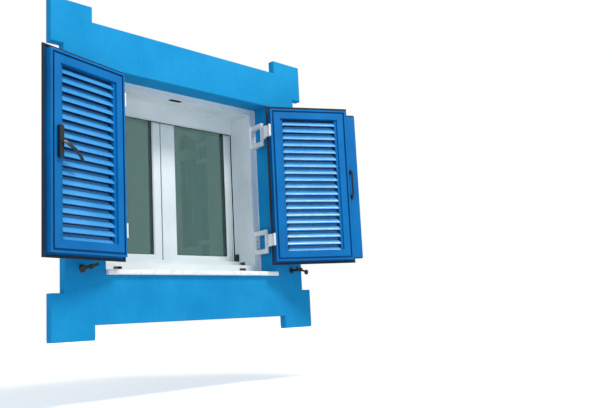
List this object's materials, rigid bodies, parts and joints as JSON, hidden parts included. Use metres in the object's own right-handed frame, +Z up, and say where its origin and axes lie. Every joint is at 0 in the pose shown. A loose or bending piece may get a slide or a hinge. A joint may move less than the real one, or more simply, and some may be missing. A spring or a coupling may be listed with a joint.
{
  "type": "window with shutters",
  "caption": "Casement window with louvred blue outside shutters, deep white frame with insect screen, sill and painted plaster surround.",
  "frame": {"origin": "in the wall's outer face, on the window's centre line, half-way up the surround's band", "axes": "+X to the right seen from outside, +Y into the wall, +Z up"},
  "size_m": [2.252, 0.8656, 1.871],
  "materials": {
    "blue_masonry_paint": "matt masonry paint on plaster",
    "white_marble": "honed",
    "white_powder_coat": "satin white powder coat",
    "blue_powder_coat": "satin blue powder coat",
    "blue_slat_coat": "satin blue powder coat",
    "white_hinge_casting": "satin white paint on casting",
    "black_casting": "satin black coat",
    "black_iron": "black paint on iron",
    "black_nylon": "moulded nylon",
    "black_rubber": "extruded seal",
    "steel_pin": "bright steel",
    "steel_screw": "stainless",
    "black_rod": "black anodised",
    "screen_mesh_roll": "rolled glass-fibre mesh",
    "clear_glass": "clear float"
  },
  "bodies": {
    "frame": {"surround": "blue_masonry_paint", "sill": "white_marble", "shutter_frame_head": "white_powder_coat", "shutter_frame_left_jamb": "white_powder_coat", "shutter_frame_right_jamb": "white_powder_coat", "shutter_frame_foot": "white_powder_coat", "screen_frame": "white_powder_coat", "window_frame": "white_powder_coat", "rod_keepers": "black_nylon", "screen_cassette": "white_powder_coat", "screen_end_stops": "black_nylon", "left_hinge_brackets": "white_hinge_casting", "right_hinge_brackets": "white_hinge_casting", "hinge_pins": "steel_pin", "bracket_screws": "steel_screw", "left_holdback_post": "black_iron", "right_holdback_post": "black_iron", "sash_hinge_frame_halves": "white_hinge_casting"},
    "screen_bar": {"screen_pull_bar": "white_powder_coat"},
    "screen_tube": {"screen_roll": "screen_mesh_roll"},
    "left_shutter": {"left_top_rail": "blue_powder_coat", "left_bottom_rail": "blue_powder_coat", "left_hinge_stile": "blue_powder_coat", "left_free_stile": "blue_powder_coat", "left_slats": "blue_slat_coat", "left_slat_combs": "black_nylon", "left_leaf_seal": "black_rubber", "left_hinge_arms": "white_hinge_casting", "left_arm_screws": "steel_screw", "cremone_plate": "black_casting"},
    "cremone_lever": {"cremone_lever": "black_casting"},
    "cremone_top_rod": {"cremone_top_rod": "black_rod"},
    "cremone_bottom_rod": {"cremone_bottom_rod": "black_rod"},
    "right_shutter": {"right_top_rail": "blue_powder_coat", "right_bottom_rail": "blue_powder_coat", "right_hinge_stile": "blue_powder_coat", "right_free_stile": "blue_powder_coat", "right_slats": "blue_slat_coat", "right_slat_combs": "black_nylon", "right_leaf_seal": "black_rubber", "right_hinge_arms": "white_hinge_casting", "right_arm_screws": "steel_screw", "meeting_flange": "blue_powder_coat", "flange_end_caps": "black_nylon", "pull_handle": "black_casting"},
    "left_catch": {"left_holdback_catch": "black_iron"},
    "right_catch": {"right_holdback_catch": "black_iron"},
    "left_sash": {"left_sash_frame": "white_powder_coat", "left_glass_unit": "clear_glass", "left_glazing_seal": "black_rubber", "left_glazing_beads": "white_powder_coat", "left_sash_hinge_halves": "white_hinge_casting", "sash_handle_plate": "white_hinge_casting"},
    "right_sash": {"right_sash_frame": "white_powder_coat", "right_glass_unit": "clear_glass", "right_glazing_seal": "black_rubber", "right_glazing_beads": "white_powder_coat", "right_sash_hinge_halves": "white_hinge_casting", "false_mullion": "white_powder_coat"},
    "sash_handle": {"sash_handle_lever": "white_hinge_casting"}
  },
  "joints": [
    {"name": "left_shutter_hinge", "type": "hinge", "parent": "frame", "child": "left_shutter", "pos_m": [-0.606, -0.02, 0], "axis": [0, 0, -1], "range_deg": [-165, 15]},
    {"name": "right_shutter_hinge", "type": "hinge", "parent": "frame", "child": "right_shutter", "pos_m": [0.606, -0.02, 0], "axis": [0, 0, 1], "range_deg": [-150.3, 29.7]},
    {"name": "cremone_lever_turn", "type": "hinge", "parent": "left_shutter", "child": "cremone_lever", "pos_m": [-1.05871, -0.31834, 0.06], "axis": [-0.2588, 0.9659, 0], "range_deg": [-45, 45]},
    {"name": "cremone_top_rod_slide", "type": "slide", "parent": "left_shutter", "child": "cremone_top_rod", "axis": [0, 0, 1], "range_m": [-0.0151, 0.0151]},
    {"name": "cremone_bottom_rod_slide", "type": "slide", "parent": "left_shutter", "child": "cremone_bottom_rod", "axis": [0, 0, -1], "range_m": [-0.0151, 0.0151]},
    {"name": "left_catch_turn", "type": "hinge", "parent": "frame", "child": "left_catch", "pos_m": [-0.8, -0.141, -0.545], "axis": [0, -1, 0], "range_deg": [0, 72]},
    {"name": "right_catch_turn", "type": "hinge", "parent": "frame", "child": "right_catch", "pos_m": [0.8, -0.141, -0.545], "axis": [0, 1, 0], "range_deg": [0, 72]},
    {"name": "left_sash_hinge", "type": "hinge", "parent": "frame", "child": "left_sash", "pos_m": [-0.636, 0.3865, 0], "axis": [0, 0, 1], "range_deg": [0, 90]},
    {"name": "right_sash_hinge", "type": "hinge", "parent": "frame", "child": "right_sash", "pos_m": [0.636, 0.3865, 0], "axis": [0, 0, -1], "range_deg": [0, 72]},
    {"name": "sash_handle_turn", "type": "hinge", "parent": "left_sash", "child": "sash_handle", "pos_m": [-0.027, 0.4, 0.0435], "axis": [0, 1, 0], "range_deg": [0, 90]},
    {"name": "screen_bar_slide", "type": "slide", "parent": "frame", "child": "screen_bar", "axis": [0, 0, 1], "range_m": [-0.9, 0], "stiffness_N_per_m": 6, "springref_m": 2.5},
    {"name": "screen_roll_turn", "type": "hinge", "parent": "frame", "child": "screen_tube", "pos_m": [0, 0.2985, 0.522], "axis": [1, 0, 0], "range_deg": [-3700, 3700]}
  ],
  "couplings": [
    {"joint": "cremone_top_rod_slide", "follows": "cremone_lever_turn", "m_per_rad": 0.0191},
    {"joint": "cremone_bottom_rod_slide", "follows": "cremone_lever_turn", "m_per_rad": 0.0191},
    {"joint": "right_sash_hinge", "follows": "left_sash_hinge", "ratio": 0.8},
    {"joint": "screen_roll_turn", "follows": "screen_bar_slide", "rad_per_m": 71.4}
  ]
}
